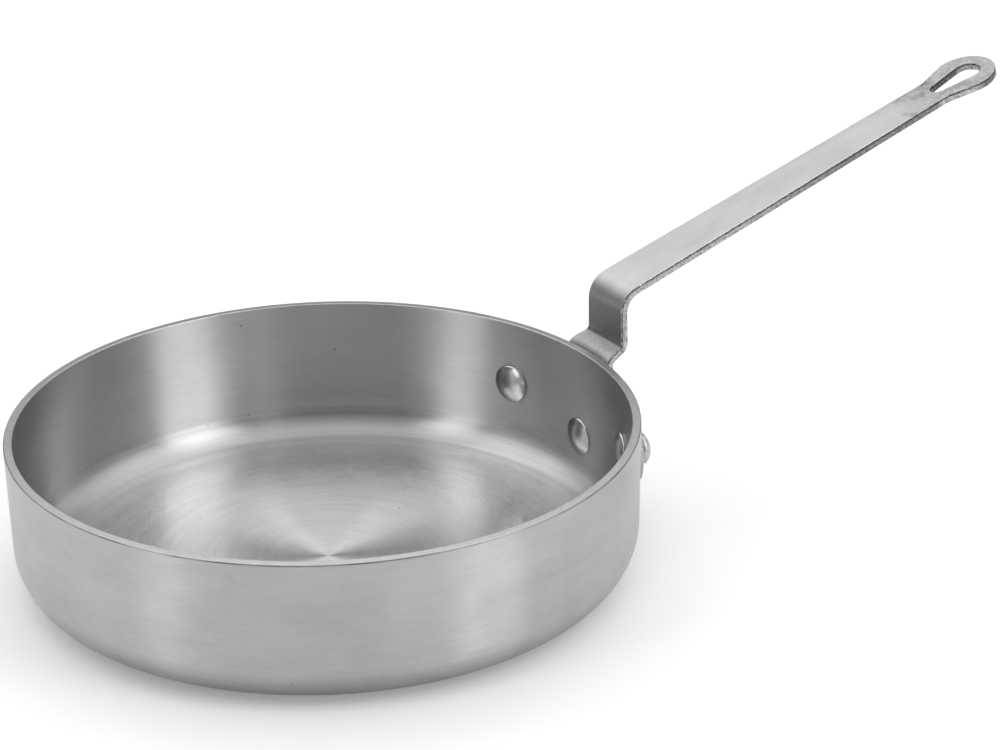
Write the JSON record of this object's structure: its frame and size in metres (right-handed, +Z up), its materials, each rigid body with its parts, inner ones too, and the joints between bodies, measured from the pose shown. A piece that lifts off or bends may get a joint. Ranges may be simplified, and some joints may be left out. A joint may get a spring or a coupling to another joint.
{
  "type": "saute pan",
  "caption": "Round straight-sided aluminium saute pan with a flat bottom, and a long rising flat steel handle riveted to its wall and ending in a teardrop hanging eye.",
  "frame": {"origin": "centre of the flat underside of the pan", "axes": "+Z up along the axis of the pan, +X from the pan out along the handle, +Y across"},
  "size_m": [0.4575, 0.25, 0.1474],
  "materials": {
    "pan_aluminium": "satin, turned and brushed round the axis",
    "handle_steel": "rolled sheet steel with a satin face and sheared edges",
    "rivet_aluminium": "polished upset heads"
  },
  "bodies": {
    "root": {"pan_body": "pan_aluminium", "handle": "handle_steel", "rivet_left": "rivet_aluminium", "rivet_right": "rivet_aluminium", "rivet_lower": "rivet_aluminium"}
  },
  "joints": []
}
